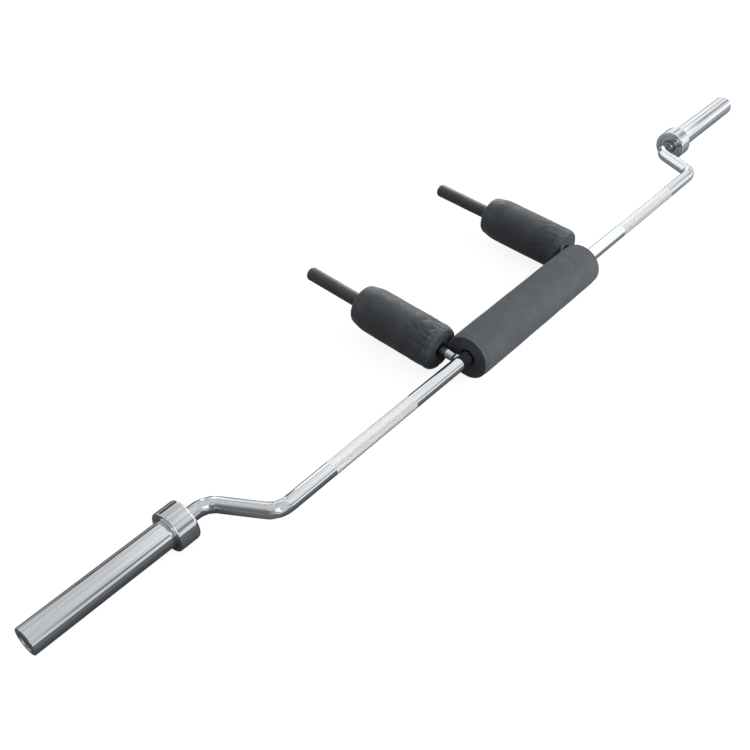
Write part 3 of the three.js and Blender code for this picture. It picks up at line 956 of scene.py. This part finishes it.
# the pad's outline from bore to bore: a drawn-in heel, the body and a tapered nose, set in from the cover by
# a depth
def armPadOutline(depth):
    size = armPad
    start, end, radius = size["start"] + depth, size["end"] - depth, size["radius"] - depth
    bore = size["bore"] + (size["boreSkin"] if depth else 0)
    heelLip, noseLip = (0, 0) if depth else size["boreRound"]
    return rounded([
        (size["start"] + size["boreRun"], bore), (start + size["heelStep"], bore, heelLip),
        (start, size["heelMiddle"], size["heelDish"] - depth),
        (start + size["heelBack"], radius, size["heelRound"] - depth),
        (end - size["nose"], radius, size["noseRound"]),
        (end, size["noseTip"] - depth, size["tipRound"] - depth), (end, bore, noseLip),
        (size["end"] - size["boreRun"], bore),
    ], 8)


def makeArmPad(side):
    size = armPad
    outside, inside = evenSteps(armPadOutline(0), size["step"]), armPadOutline(size["skin"])
    seed = Vector((0, 0, spareCloth["seed"][side]))

    def shaped(point):
        if fromAxis(point) < size["bore"] + size["boreStill"]:
            return point
        share = (point.x - size["start"]) / (size["end"] - size["start"])
        lift = size["crown"] * sin(pi * min(max(share, 0), 1))
        lift += size["unevenness"] * noise.noise(point / size["unevenPatch"] + seed)
        fromRidge = (point.x - size["start"] - size["hem"]) / size["hemWidth"]
        if fromAxis(point) > size["heelMiddle"]:
            lift += size["hemRise"] * exp(-fromRidge * fromRidge)
        return lifted(point, lift)

    folded = foldedEnd(outside, size["sides"], seed, spareCloth["fullness"][side])
    shape = padSkin(outside, inside, size["sides"], shaped, folded)
    piece = addOnArm(side, "ArmPadSkin", shape, "arm_vinyl", "_arm_pad_cover", keen=60)
    piece.data.materials.append(finish["hem"])
    for face in piece.data.polygons:
        centre = face.center / mm
        # the hems get the paler vinyl, a painted highlight on the heel's folds
        inHem = size["hemStart"] < centre.x - size["start"] < size["hem"]
        if inHem and fromAxis(centre) > size["heelMiddle"]:
            face.material_index = 1
    setAll(piece.modifiers.new("smoothed", "SUBSURF"), {"levels": 1, "render_levels": 1})
    addOnArm(side, "ArmPadFoam", padFoam(inside, size["bore"]), "foam", "_arm_pad_foam")


makeCentrePad()
for side in ("left", "right"):
    makeArmPad(side)
print("pads: three")


# Studio: a pale floor, white surroundings, two soft lamps and a small one for the arms' upper edges. For the
# chrome to mirror: a tent, a grey sheet with painted shadow and light, and three panels, which light nothing.

studio = {
    "floorHalf": 9,
    "floorDrop": 0.0005,
    "floorColour": "#8e8e8e",
    "floorLift": 0.88,
    "ambient": 0.44,
    "lamps": {
        # place, aim, width, height, watts
        "key": ((2.2, -3.0, 1.35), (0.1, -0.15, 0), 2.4, 1.8, 126),
        "back": ((0.4, 3.0, 1.7), (0, 0, 0), 3.0, 0.9, 28),
        "edge": ((1.8, 1.5, 1.0), (0, 0.15, 0.08), 0.8, 1.0, 17),  # a light line along the arms
    },
    "edgeLit": ("HandGrip", "ArmPadSkin"),
    "sheet": (-2.4, 2.8, -1.7, 1.6),  # x from and to, y from and to
    "sheetTint": "#f0f7fe",
    "sheetCrank": (0.69, 0.79),  # x from and to, where the line under the bar steps over to the sleeves
    "sheetSides": (0.5, 1.4),  # the sheet fades out between these distances from that line
    "sheetEnd": (1.2, 2.6),  # and between these along x
    # its tone by the distance from under the bar, a painted shadow, and how much lighter it is by x, painted
    # light
    "sheetShadowTones": ((0, 0.13), (0.05, 0.2), (0.09, 0.29), (0.2, 0.3), (0.45, 0.22), (1, 0.22)),
    "sheetLightAlong": ((-3, 1.0), (-0.5, 1.0), (0.3, 1.6), (1.05, 2.0), (3, 2.0)),
    "panels": {
        # middle, what it faces, width, height, tone
        "rimPanel": ((-1.8, -2.07, 1.75), (-0.84, -0.06, 0.04), 0.8, 2.3, 1.9),
        "farPanel": ((1.22, 2.7, 0.95), (0, -0.17, 0.05), 0.7, 1.7, 1.5),
        "crankPanel": ((0.72, 0.95, 0.48), (0.76, -0.12, 0.04), 0.8, 0.95, 1.3),
    },
    "tentRadius": 8,
    # the tent's tone from behind the near sleeve, at -1, to beyond the far one, at 1
    "tentAlong": ((-1.0, 0.17), (-0.82, 0.22), (-0.5, 0.75), (0.2, 0.84), (0.34, 1.05), (0.44, 1.22),
                  (0.56, 1.18), (0.69, 1.3), (0.73, 1.65), (0.78, 1.6), (0.82, 1.34), (1.0, 1.34)),
    # the same by degrees over the bar, from the horizon in front to the one behind the arms, for either end
    "nearBands": ((0, 1.0), (9, 1.15), (16, 1.05), (19, 0.4), (28, 0.32), (33, 0.78), (46, 0.95), (62, 1.0),
                  (108, 0.98), (121, 0.86), (136, 0.78), (150, 1.05), (156, 0.8), (161, 0.12), (180, 0.08)),
    "farBands": ((0, 1.0), (34, 1.0), (48, 0.62), (60, 0.4), (76, 0.45), (86, 0.75), (97, 1.0), (105, 0.95),
                 (111, 0.5), (122, 0.55), (134, 1.0), (158, 0.95), (170, 0.66), (180, 0.66)),
    "nearRise": (-0.12, 0.12),  # where along the tent the near bands come in and fade out
    "nearFade": (0.62, 0.76),
    "farRise": (0.76, 0.86),  # and where the far ones come in
}


def addSheet(name, left, right, near, far, height, material):
    mesh = bpy.data.meshes.new(name)
    mesh.from_pydata([(left, near, height), (right, near, height), (right, far, height), (left, far, height)],
                     [], [(0, 1, 2, 3)])
    mesh.materials.append(material)
    sheet = addObject(name, mesh)
    return sheet


# 1 for what the camera, a mirror or glass sees, 0 for light that only falls on things
def seenDirectly(add):
    path = add("LightPath", {})
    seen = add("Math", {
        0: path.outputs["Is Camera Ray"], 1: path.outputs["Is Glossy Ray"],
    }, operation="MAXIMUM")
    return add("Math", {0: seen, 1: path.outputs["Is Transmission Ray"]}, operation="MAXIMUM")


# a material with no shader yet, its output and what adds nodes to it
def startBare(name):
    material = bpy.data.materials.new(name)
    material.use_nodes = True
    nodes = material.node_tree.nodes
    nodes.remove(nodes["Principled BSDF"])
    return material, nodes["Material Output"], partial(addNode, material.node_tree)


# lets a bare material glow white; Cycles doesn't sample it as a lamp
def shine(material, output, add, strength):
    material.cycles.emission_sampling = "NONE"
    feed(output, {"Surface": add("Emission", {"Strength": strength})})


def addFloor():
    half = studio["floorHalf"]
    material, output, add = startBare("paleFloor")
    paint = add("BsdfDiffuse", {"Color": studio["floorColour"]})
    lift = add("Math", {0: seenDirectly(add), 1: studio["floorLift"]}, operation="MULTIPLY")
    glow = add("Emission", {"Strength": lift})
    feed(output, {"Surface": add("AddShader", {0: paint, 1: glow})})
    addSheet("floor", -half, half, -half, half, -studio["floorDrop"], material)


def onlyMirrored(thing):
    setAll(thing, dict.fromkeys(
        ("visible_camera", "visible_diffuse", "visible_shadow", "visible_transmission"), False))


# a grey sheet under the bar: a painted shadow, darkest straight below it, painted light by x, fading at its
# edges
def addMirroredSheet():
    fixed = {"Roughness": 0.9, "Specular IOR Level": 0.0}
    material, shader, add, where = startMaterial("greyFloorSheet", fixed)
    (crankStart, crankEnd), sides, ends = studio["sheetCrank"], studio["sheetSides"], studio["sheetEnd"]
    place = add("SeparateXYZ", {0: where})
    reach = add("Math", {0: place.outputs["X"]}, operation="ABSOLUTE")
    below = add("MapRange", {
        "Value": reach, "From Min": crankStart, "From Max": crankEnd,
        "To Min": barAxis.y, "To Max": sleeveAxis.y,
    })
    aside = add("Math", {0: place.outputs["Y"], 1: below}, operation="SUBTRACT")
    away = add("Math", {0: aside}, operation="ABSOLUTE")
    # painted shadow under the bar, times painted light growing along x
    tone = add("Math", {
        0: addRamp(add, away, studio["sheetShadowTones"]),
        1: addRamp(add, place.outputs["X"], studio["sheetLightAlong"]),
    }, operation="MULTIPLY")
    paint = add("Mix", {0: tone, 6: "#000000", 7: studio["sheetTint"]}, data_type="RGBA")
    edge = add("MapRange", {
        "Value": away, "From Min": sides[0], "From Max": sides[1], "To Min": 1.0, "To Max": 0.0,
    })
    end = add("MapRange", {
        "Value": place.outputs["X"], "From Min": ends[0], "From Max": ends[1], "To Min": 1.0, "To Max": 0.0,
    })
    cover = add("Math", {0: edge, 1: end}, operation="MULTIPLY")
    feed(shader, {"Base Color": paint.outputs[2], "Alpha": cover})
    onlyMirrored(addSheet("greySheet", *studio["sheet"], -studio["floorDrop"] / 2, material))


# a tone that follows a value through stops of (value, tone)
def addRamp(add, value, stops):
    low, high = stops[0][0], stops[-1][0]
    share = add("MapRange", {"Value": value, "From Min": low, "From Max": high})
    ramp = add("ValToRGB", {0: share})
    brightest = max(tone for spot, tone in stops)
    for i, (spot, tone) in enumerate(stops):
        stop = ramp.color_ramp.elements[i] if i < 2 else ramp.color_ramp.elements.new(1)
        stop.position = (spot - low) / (high - low)
        stop.color = (tone / brightest, tone / brightest, tone / brightest, 1)
    return add("Math", {0: ramp, 1: brightest}, operation="MULTIPLY")


# the tent: dim past the near end of the bar, bright past the far one, with darker strips between its panels
def addTent():
    dome = bmesh.new()
    bmesh.ops.create_icosphere(dome, subdivisions=4, radius=studio["tentRadius"])
    mesh = bpy.data.meshes.new("tent")
    dome.to_mesh(mesh)
    dome.free()
    material, output, add = startBare("tentCloth")
    where = add("TexCoord", {}).outputs["Object"]
    way = add("VectorMath", {0: where}, operation="NORMALIZE")
    towards = add("SeparateXYZ", {0: way})
    front = add("Math", {0: towards.outputs["Y"], 1: -1.0}, operation="MULTIPLY")
    over = add("Math", {0: towards.outputs["Z"], 1: front}, operation="ARCTAN2")
    angle = add("Math", {0: over}, operation="DEGREES")
    x, rise, fade, farRise = towards.outputs["X"], studio["nearRise"], studio["nearFade"], studio["farRise"]
    rising = add("MapRange", {"Value": x, "From Min": rise[0], "From Max": rise[1]})
    fading = add("MapRange", {
        "Value": x, "From Min": fade[0], "From Max": fade[1], "To Min": 1.0, "To Max": 0.0,
    })
    near = add("Math", {0: rising, 1: fading}, operation="MULTIPLY")
    far = add("MapRange", {"Value": x, "From Min": farRise[0], "From Max": farRise[1]})
    nearBands, farBands = (addRamp(add, angle, studio[key]) for key in ("nearBands", "farBands"))
    nearTone = add("Mix", {0: near, 2: 1.0, 3: nearBands}, data_type="FLOAT")
    farTone = add("Mix", {0: far, 2: 1.0, 3: farBands}, data_type="FLOAT")
    bands = add("Math", {0: nearTone, 1: farTone}, operation="MULTIPLY")
    along = addRamp(add, x, studio["tentAlong"])
    level = add("Math", {0: along, 1: bands}, operation="MULTIPLY")
    shine(material, output, add, level)
    mesh.materials.append(material)
    tent = addObject("tent", mesh)
    onlyMirrored(tent)


def aimAt(thing, place, aim):
    thing.location = place
    thing.rotation_euler = (Vector(place) - Vector(aim)).to_track_quat("Z", "Y").to_euler()


# white panels: for the bright lines on the collars' rims, the top of the near crank and the far crank
def addPanels():
    for name, (middle, aim, width, height, tone) in studio["panels"].items():
        material, output, add = startBare(name + "White")
        shine(material, output, add, tone)
        panel = addSheet(name, -width / 2, width / 2, -height / 2, height / 2, 0, material)
        aimAt(panel, middle, aim)
        onlyMirrored(panel)


# white where it is seen, softer where it only lights
def addSurroundings():
    world = bpy.data.worlds.new("paleRoom")
    world.use_nodes = True
    bpy.context.scene.world = world
    add = partial(addNode, world.node_tree)
    level = add("MapRange", {"Value": seenDirectly(add), "To Min": studio["ambient"], "To Max": 1.0})
    feed(world.node_tree.nodes["Background"], {"Color": (1, 1, 1, 1), "Strength": level})


def addLamps():
    for name, (place, aim, width, height, watts) in studio["lamps"].items():
        data = bpy.data.lights.new(name, "AREA")
        data.shape = "RECTANGLE"
        data.size, data.size_y, data.energy = width, height, watts
        lamp = addObject(name, data)
        aimAt(lamp, place, aim)
        lamp.visible_glossy = name == "edge"  # mirrors see neither of the large lamps
        if name == "edge":
            lit = bpy.data.collections.new("edgeLit")
            for piece in bpy.data.objects:
                if piece.name.endswith(studio["edgeLit"]):
                    lit.objects.link(piece)
            lamp.light_linking.receiver_collection = lit


addFloor()
addMirroredSheet()
addTent()
addPanels()
addSurroundings()
addLamps()
print("studio: lit")
